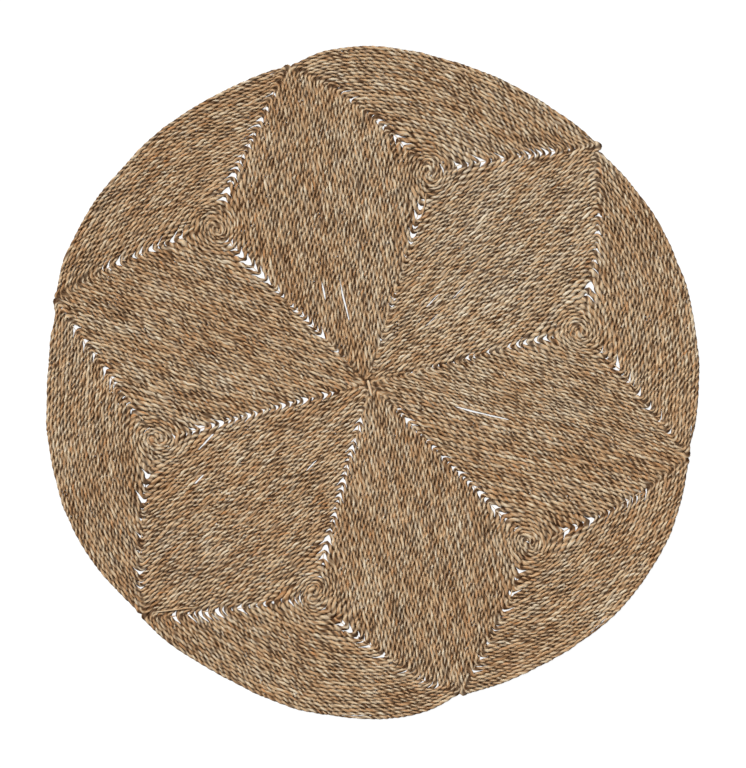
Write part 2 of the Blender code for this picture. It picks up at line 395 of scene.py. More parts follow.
class CordRoute:
    """The line of one panel's cord, from its outer end on the rim to the hairpin in the whorl.

    A round jogs in to the next one on its last stretch. This begins JOG_CLEAR past the start corner, within
    the limits of its length, and never before EARLIEST_JOG of the round. The cord's outer end is a tail of
    TAIL_SHARE of that stretch, which thins out to THIN_END. The reaches tell how far from a corner a pull, a
    gap and the crowding of the rounds are felt, and SHARPER_BY how much less each round is rounded on the
    rim than the one outside it.
    """

    FINE_STEP = 0.001
    GRID = 801
    JOG_CLEAR = 0.004
    JOG_SHARES = (0.10, 0.85)
    JOG_LIMITS = (0.030, 0.15)
    EARLIEST_JOG = 0.5
    TAIL_SHARE = 0.75
    THIN_END = 0.35
    LEAST_FROM_CORNER = 0.034
    RIM_PARTS = 3
    LEAST_LENGTH = 1e-6
    PULL_REACH = 0.026
    OPEN_REACH = 0.030
    CROWD_REACH = 0.014
    SHARPER_BY = 0.0145
    CORNER_FILL = (0.95, 1.3, 0.95)
    HAIRPIN_GONE_FROM = 0.65

    def __init__(self, outline: PanelOutline, rng: np.random.Generator) -> None:
        """Prepares the corners' habits, one value for each corner and round.

        Args:
            outline: The panel's rings.
            rng: The panel's own random numbers.
        """
        self.outline = outline
        self.depth_rounds = ROUNDS + WHORL_CORD
        shape = (len(Corner), ROUNDS + 1)
        self.turns = np.full(shape, CLOSED_APEX.turn[0])
        self.pulls = np.zeros(shape)
        self.openness = np.zeros(shape)
        self.asides = np.zeros(shape)
        for corner in Corner:
            for number in range(ROUNDS):
                habit = self.habit_of(corner, number)
                loose = outline.panel.loose[corner.value]
                self.turns[corner.value, number] = rng.uniform(*habit.turn)
                self.pulls[corner.value, number] = loose * rng.uniform(*habit.drawn_in)
                self.openness[corner.value, number] = loose * rng.uniform(*habit.openness)
                self.asides[corner.value, number] = rng.uniform(*habit.aside)
        self.asides[Corner.END.value] *= -1
        for corner, turn in zip((Corner.START, Corner.END), outline.panel.rim_turns):
            rounder = turn - self.SHARPER_BY * np.arange(ROUNDS + 1)
            self.turns[corner.value] = np.maximum(self.turns[corner.value], rounder)

    def habit_of(self, corner: Corner, number: int) -> CornerHabit:
        """The habit of a round at a corner, by the panel's table of gaps.

        Args:
            corner: The corner.
            number: The round, counted from the rim.

        Returns:
            One of the four habits.
        """
        if self.outline.panel.is_open(corner, number):
            return OPEN_APEX if corner is Corner.APEX else OPEN_RIM
        return CLOSED_APEX if corner is Corner.APEX else CLOSED_RIM

    def sharp_rings(self, share: Array) -> dict[str, Array]:
        """The corners and side lengths of rings with sharp corners.

        Args:
            share: The rings' shares.

        Returns:
            apex, start and end corners as points, the corners' directions on the rim, the rim's distance
            from the middle there, and the lengths of the start side, rim, end side and whole ring.
        """
        outline = self.outline
        grid = np.linspace(0.0, 1.0, self.GRID)
        start_deg = np.interp(share, grid, outline.rim_corner_deg(grid, False))
        end_deg = np.interp(share, grid, outline.rim_corner_deg(grid, True))
        apex = outline.apex(share)
        start = outline.rim_point(start_deg, share)
        end = outline.rim_point(end_deg, share)
        radius = outline.rim_distance((start_deg + end_deg) / 2, share)
        rings = {"apex": apex, "start": start, "end": end, "start_deg": start_deg, "end_deg": end_deg}
        rings["radius"] = radius
        rings["start_side"] = np.linalg.norm(start - apex, axis=1)
        rings["rim_side"] = radius * np.radians(end_deg - start_deg)
        rings["end_side"] = np.linalg.norm(end - apex, axis=1)
        rings["length"] = rings["start_side"] + rings["rim_side"] + rings["end_side"]
        return rings

    def end_offset(self, rings: dict[str, Array]) -> Array:
        """How far along the rim each round begins, in line with the cord's outer end.

        Args:
            rings: The rings, as sharp_rings gives them.

        Returns:
            Distances from the start corner, never so short that a round begins within its corner or, on a
            short run, within its first third.
        """
        span = self.outline.end_deg - self.outline.start_deg
        share = (self.outline.panel.cord_end_deg - self.outline.start_deg) / span
        least = np.minimum(self.LEAST_FROM_CORNER, rings["rim_side"] / self.RIM_PARTS)
        return np.maximum(share * rings["rim_side"], least)

    def fine_line(self) -> CordLine:
        """The cord's line in fine steps.

        Each outer round keeps its distance from the edge and jogs in to the next one over its last stretch.
        Towards the whorl the move in is spread over the whole round, until the line is a true spiral.

        Returns:
            The line from the outer end inwards.
        """
        numbers = np.arange(ROUNDS)
        round_share = 1 - (numbers + 0.5) / self.depth_rounds
        rings = self.sharp_rings(round_share)
        lengths = rings["length"]
        stretch = np.clip(self.end_offset(rings)[0] - self.JOG_CLEAR, *self.JOG_LIMITS)
        waits = np.clip(1 - stretch / lengths, self.EARLIEST_JOG, None)
        jogs = smooth_step(*self.JOG_SHARES, round_share)
        run = np.concatenate([[0.0], np.cumsum(lengths)])
        tail = self.TAIL_SHARE * stretch
        travelled = np.arange(-tail, run[-1], self.FINE_STEP)
        turn = np.interp(travelled, run, np.arange(ROUNDS + 1.0))
        turn = np.where(travelled < 0, travelled / lengths[0], turn)
        number = np.clip(np.floor(turn).astype(int), 0, ROUNDS - 1)
        part = turn - number
        wait = waits[number]
        jog = smooth_step(0.0, 1.0, (part - wait) / (1 - wait))
        shift = np.clip(part, 0.0, 1.0) * (1 - jogs[number]) + jog * jogs[number]
        share = 1 - (number + 0.5 + shift) / self.depth_rounds
        line = self.place(share, number, part)
        line.turn = turn
        line.taper = np.clip(self.THIN_END + (1 - self.THIN_END) * (travelled + tail) / tail, None, 1.0)
        return line

    def place(self, share: Array, number: Array, part: Array) -> CordLine:
        """Where the cord is on its way round.

        A corner is rounded as a parabola: at a distance t from it along the line, the point is the sum of
        the two sides' points at (h - t) / 2 and (h + t) / 2 from the corner, less the corner, with h the
        turn's length over four plus t * t over the turn's length.

        Args:
            share: The share of the ring that each point lies on.
            number: The round that each point belongs to.
            part: The part of the round that is behind each point.

        Returns:
            The line, with its turn and taper still to be filled in.
        """
        outline = self.outline
        rings = self.sharp_rings(share)
        length = rings["length"]
        to_rim_end = rings["start_side"] + rings["rim_side"]
        at = (rings["start_side"] + self.end_offset(rings) + part * length) % length
        along_start = direction(outline.start_deg)
        along_end = direction(outline.end_deg)

        rim_deg = rings["start_deg"] + np.degrees((at - rings["start_side"]) / rings["radius"])
        on_start = at < rings["start_side"]
        on_end = at > to_rim_end
        points = outline.rim_point(rim_deg, share)
        points[on_start] = (rings["apex"] + at[:, None] * along_start)[on_start]
        points[on_end] = (rings["end"] - (at - to_rim_end)[:, None] * along_end)[on_end]

        def rim_from(corner_deg: Array, distance: Array) -> Array:
            """Points on the rim side at signed distances from a corner."""
            return outline.rim_point(corner_deg + np.degrees(distance / rings["radius"]), share)

        past_corner = {
            Corner.END: at - to_rim_end,
            Corner.APEX: np.where(at > length / 2, at - length, at),
            Corner.START: at - rings["start_side"],
        }
        crowding, rim_fill = np.zeros_like(share), np.zeros_like(share)
        closed_out, closed_in = np.ones_like(share), np.ones_like(share)
        for corner in Corner:
            t = past_corner[corner]
            middle = rings[corner.name.lower()]
            turn = self.turns[corner.value][number]
            h = t * t / turn + turn / 4
            before, after = ((h - t) / 2)[:, None], ((h + t) / 2)[:, None]
            if corner is Corner.APEX:
                first, second = middle + before * along_end, middle + after * along_start
            elif corner is Corner.START:
                first, second = middle - before * along_start, rim_from(rings["start_deg"], after[:, 0])
            else:
                first, second = rim_from(rings["end_deg"], -before[:, 0]), middle - after * along_end
            turning = np.abs(t) < turn / 2
            points[turning] = (first + second - middle)[turning]
            inward = outline.whorl - middle
            inward /= np.maximum(np.linalg.norm(inward, axis=1), self.LEAST_LENGTH)[:, None]
            beside, beside_inner = (t - self.asides[corner.value][number + more] for more in (0, 1))
            points += (self.pulls[corner.value][number] * bump(beside, self.PULL_REACH))[:, None] * inward
            crowding = np.maximum(crowding, bump(t, self.CROWD_REACH))
            rim_fill += self.CORNER_FILL[corner.value] * bump(t, self.CROWD_REACH)
            closed_out -= self.openness[corner.value][number] * bump(beside, self.OPEN_REACH)
            closed_in -= self.openness[corner.value][number + 1] * bump(beside_inner, self.OPEN_REACH)
        points = self.rounded_near_whorl(points, share)
        return CordLine(points, part, crowding, closed_out, closed_in, rim_fill, part)

    def corner_turn(self, corner: Corner, number: int) -> float:
        """How many rounds of the cord lie behind a corner.

        Args:
            corner: The corner.
            number: The round that it belongs to.

        Returns:
            The rounds, with the part of a round after the point.
        """
        rings = self.sharp_rings(np.array([1 - (number + 0.5) / self.depth_rounds]))
        offset = self.end_offset(rings)
        start_side = rings["start_side"]
        left_over = {Corner.END: rings["end_side"] + start_side, Corner.APEX: start_side, Corner.START: 0.0}
        return float(number + 1 - ((left_over[corner] + offset) / rings["length"])[0])

    def rounded_near_whorl(self, points: Array, share: Array) -> Array:
        """Turns the rings near the whorl into ovals that are as long as the cord's first hairpin.

        An oval's point lies in the same direction from the whorl as the ring's own point.

        Args:
            points: Points as x and y.
            share: The share of the ring that each lies on.

        Returns:
            The points, moved.
        """
        outline = self.outline
        weight = smooth_step(OVAL_UNTIL, CORNERS_FROM, share)[:, None]
        out = points - outline.whorl
        turn = np.arctan2(out[:, 1], out[:, 0]) - math.radians(outline.panel.hairpin_deg)
        width = share * (outline.start_depth + outline.end_depth) / 2
        longer = HAIRPIN * (1 - smooth_step(0.0, self.HAIRPIN_GONE_FROM, share)) * np.cos(turn)
        long_axis = direction(outline.panel.hairpin_deg)
        short_axis = direction(outline.panel.hairpin_deg + 90)
        oval = (width * np.cos(turn))[:, None] * long_axis + (width * np.sin(turn))[:, None] * short_axis
        return outline.whorl + weight * out + (1 - weight) * oval + longer[:, None] * long_axis


def cross(first: Array, second: Array) -> Array:
    """The cross product of vectors in the plane."""
    return first[..., 0] * second[..., 1] - first[..., 1] * second[..., 0]


# The search for the round beside: the pieces of line that are tried, the least slant, how far a piece counts
# beyond its ends, from where a round's other side counts, and the most times the usual distance
NEAR_PIECES = np.arange(-12, 13)
PARALLEL = 1e-12
PIECE_MARGIN = 0.02
OTHER_SIDE_FROM = 0.003
FARTHEST = 3


def room_to_round(points: Array, ray: Array, place: Array, least: float) -> Array:
    """The distance along a ray from each point of a coiled line to the line near another place on it.

    With a the way to a piece's start, b the piece and r the ray, they meet at cross(a, b) / cross(r, b) of
    the ray and cross(a, r) / cross(r, b) of the piece.

    Args:
        points: The line's points as x and y.
        ray: A unit vector for each point.
        place: The index of the other place, or less than 0 for none.
        least: The distance from which a piece counts.

    Returns:
        One distance for each point, infinite where no piece is met.
    """
    piece = np.clip(place.astype(int)[:, None] + NEAR_PIECES, 0, len(points) - 2)
    way = points[piece] - points[:, None]
    run = points[piece + 1] - points[piece]
    slant = cross(ray[:, None], run)
    slant = np.where(np.abs(slant) < PARALLEL, PARALLEL, slant)
    on_ray, on_piece = cross(way, run) / slant, cross(way, ray[:, None]) / slant
    met = (on_piece > -PIECE_MARGIN) & (on_piece < 1 + PIECE_MARGIN)
    met &= (on_ray > least) & (place >= 0)[:, None]
    return np.where(met, on_ray, np.inf).min(axis=1)


def room_beside(points: Array, left: Array, turn: Array, side: int, usual: float | Array) -> Array:
    """The distance from each point of a coiled line, square to the line, to the round beside it.

    In a corner the round inside may begin further on. Then it is the distance to the round's other side.

    Args:
        points: The line's points as x and y.
        left: Unit vectors to the left of the line, which is inwards.
        turn: The rounds that are behind each point.
        side: 1 for the round inside and -1 for the one outside.
        usual: The distance to give where there is no round.

    Returns:
        One distance for each point.
    """
    places = np.arange(len(turn))
    place = np.interp(turn + side, turn, places, left=-1, right=-1)
    room = room_to_round(points, side * left, place, 0.0)
    if side > 0:
        room = np.minimum(room, room_to_round(points, left, places, OTHER_SIDE_FROM))
    return np.where(room < FARTHEST * usual, room, usual)


class Lie:
    """How the whole rug's rounds wander from their drawn places, and where two rounds part in a slit.

    WAVES are pairs of a wavelength and a height. The slits' reaches tell how far to their sides and beyond
    their ends the rounds give way. Within SLIT_NEAR, and SLIT_TIP of the ends, they don't fill the room to
    each other. SLIT_MIDDLE is the part along and beside a slit in which the rounds beside it are looked up.
    """

    WAVES = ((0.31, 0.0011), (0.17, 0.0007), (0.09, 0.0004))
    SLIT_SIDE_REACH = 0.030
    SLIT_END_REACH = 0.018
    SLIT_NEAR = 0.014
    SLIT_TIP = 0.004
    SLIT_MIDDLE = (0.005, 0.012)

    def __init__(self, rng: np.random.Generator) -> None:
        """Draws the waves' directions and phases."""
        self.ways = [direction(rng.uniform(0, 360, 2)) for _ in self.WAVES]
        self.phases = [rng.uniform(0, 2 * np.pi, 2) for _ in self.WAVES]

    def moved(self, line: CordLine) -> None:
        """Adds the waves and slits to a line, and keeps the rounds beside a slit from filling it.

        Args:
            line: A line, with its points as x and y from the rug's meeting point.
        """
        points = line.points
        moved = points.copy()
        for (wavelength, height), ways, phases in zip(self.WAVES, self.ways, self.phases):
            moved += height * np.sin(2 * np.pi * points @ ways.T / wavelength + phases)
        for slit in SLITS:
            start, end = np.array(slit.start), np.array(slit.end)
            length = np.linalg.norm(end - start)
            along = (end - start) / length
            across = np.array([-along[1], along[0]])
            place = np.abs((points - start) @ along - length / 2)
            side = (points - start) @ across
            opened = bump(place, length / 2 + self.SLIT_END_REACH) * bump(side, self.SLIT_SIDE_REACH)
            sign, beyond = self.sides_of_slit(line.turn, place, side)
            moved += (slit.width / 2 * sign * opened)[:, None] * across
            beside = smooth_step(length / 2 + self.SLIT_TIP, length / 2, place)
            beside *= np.abs(side) < self.SLIT_NEAR
            outer, inner = (beyond > 0) & (beyond < 1), (beyond < 0) & (beyond > -1)
            line.closed_out = np.minimum(line.closed_out, 1 - beside * outer)
            line.closed_in = np.minimum(line.closed_in, 1 - beside * inner)
        line.points = moved

    def sides_of_slit(self, turn: Array, place: Array, side: Array) -> tuple[Array, Array]:
        """On which side of a slit each point lies, so that the slit runs between two rounds and parts none.

        Args:
            turn: The rounds behind each point.
            place: How far each point is from the slit's middle, along the slit.
            side: How far it lies beside the slit.

        Returns:
            1 or -1 for each point, and its rounds beyond the slit, or nan where the slit isn't in the panel.
        """
        along, aside = self.SLIT_MIDDLE
        left = (place < along) & (side > 0) & (side < aside)
        right = (place < along) & (side <= 0) & (side > -aside)
        if not left.any() or not right.any():
            return np.sign(side), np.full_like(side, np.nan)
        nearest_left = turn[left][np.argmin(side[left])]
        nearest_right = turn[right][np.argmax(side[right])]
        beyond = turn - (nearest_left + nearest_right) / 2
        near = np.abs(side) < self.SLIT_SIDE_REACH
        inwards = np.sign(nearest_left - nearest_right)
        return np.where(near, np.sign(beyond) * inwards, np.sign(side)), beyond


def stepped(line: CordLine, step: float) -> CordLine:
    """A line again with fewer points, at even steps where it runs straight and at half steps in corners.

    Args:
        line: The line in fine steps.
        step: The step on straight stretches.

    Returns:
        The line at the new points.
    """
    lengths = np.linalg.norm(np.diff(line.points, axis=0), axis=1)
    effort = np.concatenate([[0.0], np.cumsum(lengths * (1 + (line.crowding[1:] + line.crowding[:-1]) / 2))])
    stops = np.linspace(0.0, effort[-1], int(round(effort[-1] / step)) + 1)

    def read(values: Array) -> Array:
        """The values at the stops."""
        return np.interp(stops, effort, values)

    points = np.stack([read(column) for column in line.points.T], axis=1)
    rest = (line.turn, line.crowding, line.closed_out, line.closed_in, line.rim_fill, line.taper)
    return CordLine(points, *(read(values) for values in rest))


@dataclass(frozen=True)
class Tube:
    """The vertices of a profile carried along a line: rings[k, j] is the point j of ring k.

    along is each ring's distance on the line, for the material.
    """

    rings: Array
    along: Array


UNROLLED_MAP = "OFBake"
CORD_MAP = "Cord"
MAP_MARGIN = 0.08
CAP_ON_MAP = 1e-4
FACE_LENGTH = 0.0040
FACE_WIDTH = 0.0030


def unrolled_corners(ring_count: int, sides: int) -> Array:
    """Each face's corners on a map that lays a tube out in strips, one above the other, as in a ruled page.

    Args:
        ring_count: How many faces the tube has along its length.
        sides: How many it has around.

    Returns:
        An array of faces along by faces around by 4 corners by u and v, all from 0 to 1.
    """
    strips = max(1, int(round(math.sqrt(ring_count * FACE_LENGTH / (sides * FACE_WIDTH)))))
    strip_faces = math.ceil(ring_count / strips)
    along = np.arange(ring_count)[:, None, None]
    around = np.arange(sides)[None, :, None]
    u = (along % strip_faces + np.array([0, 0, 1, 1])) / strip_faces
    v = (around + np.array([0, 1, 1, 0])) / sides
    v = (along // strip_faces + MAP_MARGIN + (1 - 2 * MAP_MARGIN) * v) / strips
    return np.stack(np.broadcast_arrays(u, v), axis=-1)


def linked(name: str, data: bpy.types.ID) -> bpy.types.Object:
    """A new object, linked to the scene.

    Args:
        name: Its name.
        data: Its mesh, light or camera.

    Returns:
        The object.
    """
    made = bpy.data.objects.new(name, data)
    bpy.context.scene.collection.objects.link(made)
    return made


def tubes_to_object(name: str, tubes: list[Tube]) -> bpy.types.Object:
    """One mesh object of closed tubes: a strip of quads round each, and a flat cap at both ends.

    Args:
        name: The object's name.
        tubes: The tubes, whose rings run counterclockwise seen against the line's direction.

    Returns:
        The object, at the origin, smooth shaded, with the cord's own map and the unrolled one.
    """
    sides = tubes[0].rings.shape[1]
    side = np.arange(sides)
    after = (side + 1) % sides
    around = np.stack([side, side + 1, side + 1, side], axis=-1) / sides
    turn = 2 * np.pi * side / sides
    cap = CAP_ON_MAP * np.stack([np.cos(turn), np.sin(turn)], axis=-1)
    strips = unrolled_corners(sum(len(tube.rings) - 1 for tube in tubes), sides)
    corners, sizes, cord_uv, flat_uv = [], [], [], []
    first = done = 0
    for tube in tubes:
        count = len(tube.rings) - 1
        ring = np.arange(count)[:, None]
        low, high = first + ring * sides, first + (ring + 1) * sides
        quads = np.stack([low + side, low + after, high + after, high + side], axis=-1)
        corners += [quads.ravel(), first + side[::-1], first + count * sides + side]
        sizes += [np.full(count * sides, 4), np.full(2, sides)]
        distance = tube.along[np.stack([ring, ring, ring + 1, ring + 1], axis=-1)]
        cord_uv.append(np.stack(np.broadcast_arrays(distance, around), axis=-1).reshape(-1, 2))
        for at in tube.along[[0, -1]]:
            cord_uv.append(np.stack([np.full(sides, at), np.linspace(0, 1, sides)], axis=-1))
        flat = strips[done:done + count].reshape(-1, 2)
        flat_uv += [flat, flat[:1] + cap, flat[-1:] + cap]
        first += (count + 1) * sides
        done += count
    vertices = np.concatenate([tube.rings.reshape(-1, 3) for tube in tubes])
    corners, sizes = np.concatenate(corners), np.concatenate(sizes)
    mesh = bpy.data.meshes.new(name)
    mesh.vertices.add(len(vertices))
    mesh.vertices.foreach_set("co", vertices.astype(np.float32).ravel())
    mesh.loops.add(len(corners))
    mesh.loops.foreach_set("vertex_index", corners.astype(np.int32))
    mesh.polygons.add(len(sizes))
    mesh.polygons.foreach_set("loop_start", np.concatenate([[0], np.cumsum(sizes)[:-1]]).astype(np.int32))
    for map_name, values in ((CORD_MAP, cord_uv), (UNROLLED_MAP, flat_uv)):
        layer = mesh.uv_layers.new(name=map_name)
        layer.uv.foreach_set("vector", np.concatenate(values).astype(np.float32).ravel())
    mesh.update(calc_edges=True)
    mesh.shade_smooth()
    return linked(name, mesh)


class CoiledPanel:
    """One panel: the cord, carried along its route, and what the frame needs to know of it.

    The plies lie side by side for longer than one above the other: with t the even twist, the cord has turned
    by t + LINGERING * sin(2 t). So they show as long strokes that lean little and taper at both ends. The
    wavers are pairs of a wavelength and a height.
    """

    OWN_WANDER = ((0.06, 0.0008), (0.021, 0.0008))
    WANDERS_FROM = (0.3, 1.6)
    OWN_HEIGHT = ((0.05, 0.0003), (0.018, 0.0006))
    CORNER_DIP = 0.0011
    PRESSED_ROUNDS = (-2.5, -0.5)
    RIM_BULGE = 0.10
    RIM_NOTCH = 0.30
    RIM_WAVER = ((0.03, 0.12),)
    ON_RIM_FROM = (0.6, 0.9)
    TWIST_WAVER = ((0.12, 1.2), (0.05, 1.6), (0.022, 1.1))
    LINGERING = -0.15
    PLY_WAVER = ((0.034, 0.20), (0.014, 0.15))
    PLY_OF_POINT = (0, 0, 0, 1, 1, 1, 1, 0)
    SEAM_OVERLAP = 0.0006
    END_THICKNESS = 0.8
    ROOM_SMOOTHING = (0.2, 0.6, 0.2)

    def __init__(self, outline: PanelOutline, size: CordSize, lie: Lie, middle: Array, seed: int) -> None:
        """Lays the cord's line.

        Args:
            outline: The panel's rings.
            size: The cord's size.
            lie: The whole rug's wander.
            middle: The middle of the rug's outline, from its meeting point.
            seed: The start of the panel's own random numbers.
        """
        self.outline = outline
        self.size = size
        self.middle = middle
        self.rng = np.random.default_rng(seed)
        self.route = CordRoute(outline, self.rng)
        self.line = self.route.fine_line()
        lie.moved(self.line)
        self.length = 0.0

    def build(self) -> bpy.types.Object:
        """The panel's mesh.

        Returns:
            An object that stands for the panel's solid.
        """
        size = self.size
        line = stepped(self.line, size.ring_step)
        along, left = self.measured(line.points)
        self.length = float(along[-1])
        wander = smooth_step(*self.WANDERS_FROM, line.turn) * self.wavered(along, self.OWN_WANDER)
        points = line.points + wander[:, None] * left
        along, left = self.measured(points)
        in_whorl = smooth_step(*self.PRESSED_ROUNDS, line.turn - line.turn[-1])
        pressed = np.maximum(size.pressed_corner * line.crowding, size.pressed_whorl * in_whorl)
        pressed += size.pressed
        rim = self.on_rim(points, left, line.turn)
        room_in = room_beside(points, left, line.turn, 1, size.pitch)
        free = size.pitch * (1 + line.rim_fill) + self.SEAM_OVERLAP
        room_out = room_beside(points, left, line.turn, -1, free)
        points = points - self.middle
        height = size.height - self.CORNER_DIP * line.crowding + self.wavered(along, self.OWN_HEIGHT)
        twist = 2 * np.pi * along / size.lay + self.wavered(along, self.TWIST_WAVER)
        twist += self.LINGERING * np.sin(2 * twist)
        plies = 1 + np.stack([self.wavered(along, self.PLY_WAVER) for _ in range(2)], axis=1)
        thick = self.END_THICKNESS + (along[-1] - along) / size.end_taper
        thick = line.taper * np.clip(thick, None, 1.0)
        rings = self.profile(twist, plies)
        sideways = rings[..., 0]
        inner = self.half_width(room_in, line.closed_in, pressed) / sideways.max(axis=1)
        outer = self.half_width(room_out, line.closed_out, pressed) / -sideways.min(axis=1)
        bulge = self.RIM_BULGE - self.RIM_NOTCH * np.sin(twist) ** 2
        outer *= 1 + rim * (bulge + self.wavered(along, self.RIM_WAVER))
        sideways = thick[:, None] * sideways * np.where(sideways > 0, inner[:, None], outer[:, None])
        vertices = np.empty((*sideways.shape, 3))
        vertices[..., :2] = points[:, None] + sideways[..., None] * left[:, None]
        vertices[..., 2] = np.maximum(height[:, None] + thick[:, None] * rings[..., 1], 0.0)
        return tubes_to_object(self.outline.panel.name + "_cord", [Tube(vertices, along)])

    @staticmethod
    def measured(points: Array) -> tuple[Array, Array]:
        """What is needed of a line to lay something beside it.

        Args:
            points: The line's points as x and y.

        Returns:
            Their distances along it, and unit vectors to its left.
        """
        forward = np.gradient(points, axis=0)
        forward /= np.linalg.norm(forward, axis=1)[:, None]
        along = np.concatenate([[0.0], np.cumsum(np.linalg.norm(np.diff(points, axis=0), axis=1))])
        return along, np.stack([-forward[:, 1], forward[:, 0]], axis=1)

    def on_rim(self, points: Array, left: Array, turn: Array) -> Array:
        """Where the cord lies on the rim: in the outermost round, with its left towards the middle.

        Args:
            points: The cord's points, from the rug's middle.
            left: Unit vectors to the left.
            turn: The rounds that are behind each point.

        Returns:
            A number from 0 to 1 for each point.
        """
        inwards = -(left * points).sum(axis=1) / np.linalg.norm(points, axis=1)
        return (turn < 1) * smooth_step(*self.ON_RIM_FROM, inwards)

    def wavered(self, along: Array, waves: tuple[tuple[float, float], ...]) -> Array:
        """The sum of a few smooth noises, each given by its wavelength and height."""
        return sum(height * wavering(along, wavelength, self.rng) for wavelength, height in waves)

    def half_width(self, room: Array, closed: Array, pressed: Array) -> Array:
        """How far the cord reaches to one side, so that it fills the room to the round beside it.

        Args:
            room: The distance to that round's middle.
            closed: Whether it does so, from 0 to 1.
            pressed: How far it reaches into that round.

        Returns:
            A length for each point.
        """
        size = self.size
        room = np.convolve(np.pad(room, 1, "edge"), self.ROOM_SMOOTHING, "valid")
        parting = np.clip(1 - closed, 0.0, 1.0)
        alone = size.half_width * (1 - size.slimmer * parting)
        parted = np.clip(room / 2 - alone, 0.0, size.widest_gap / 2) * parting
        return np.clip(room / 2 - parted + pressed * (1 - parting), size.narrowest, size.widest)

    def profile(self, twist: Array, plies: Array) -> Array:
        """The cord's outline at each ring: two lobes that turn with the twist, filled out at both sides.

        A point at an angle b from the ply's middle lies at the angle twist + b. Its distance is that of the
        ply's tip, shoulder or waist. Where that is less than the side's, it grows towards the side's with the
        fourth power of the cosine of the angle, so that it does so only beside the next round.

        Args:
            twist: The angle of the first ply at each ring.
            plies: A factor on the thickness of each ply at each ring.

        Returns:
            For each ring and point the distance to the left and upwards.
        """
        size = self.size
        shoulder = math.radians(size.shoulder_deg)
        ply = np.array([0.0, shoulder, math.pi / 2, math.pi - shoulder])
        turns = np.concatenate([ply, ply + math.pi])
        distances = np.tile([size.radius, size.shoulder, size.waist, size.shoulder], 2)
        distances = distances * plies[:, self.PLY_OF_POINT]
        angles = twist[:, None] + turns
        sideways = np.cos(angles) ** 4
        reach = distances + np.maximum(size.side - distances, 0.0) * sideways
        return np.stack([reach * np.cos(angles), size.flatness * reach * np.sin(angles)], axis=-1)

    def declare(self, piece: bpy.types.Object, threads: list[bpy.types.Object]) -> None:
        """Tells the frame what the piece and its sewing ride on, and hides the part that the piece stands
        for.

        Args:
            piece: The panel's object.
            threads: The sewing on it.
        """
        name = self.outline.panel.name
        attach(piece, RIDES_ON)
        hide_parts(name)
        for strand in threads:
            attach(strand, RIDES_ON)
        self.outline.flat_area()


@dataclass(frozen=True)
class Stitch:
    """A strand that shows on the rug's face, by its points from the meeting point and its width."""

    panel: str
    points: tuple[tuple[float, float, float], ...]
    width: float


STITCHES = (
    Stitch("panel_north_east", (
        (0.1294, 0.430, 0.0050), (0.1290, 0.424, 0.0088), (0.1265, 0.405, 0.0092),
        (0.1215, 0.385, 0.0088), (0.1180, 0.370, 0.0050)), 0.0026),
    Stitch("panel_north_west", (
        (-0.0035, 0.006, 0.0040), (-0.0012, 0.001, 0.0078), (0.0020, -0.011, 0.0086),
        (0.0058, -0.024, 0.0078), (0.0070, -0.030, 0.0040)), 0.0070),
    Stitch("panel_south_west", (
        (-0.4926, -0.5210, 0.0045), (-0.4631, -0.5164, 0.0092), (-0.4358, -0.5130, 0.0094),
        (-0.4063, -0.5096, 0.0092), (-0.3836, -0.5073, 0.0045)), 0.0030),
)


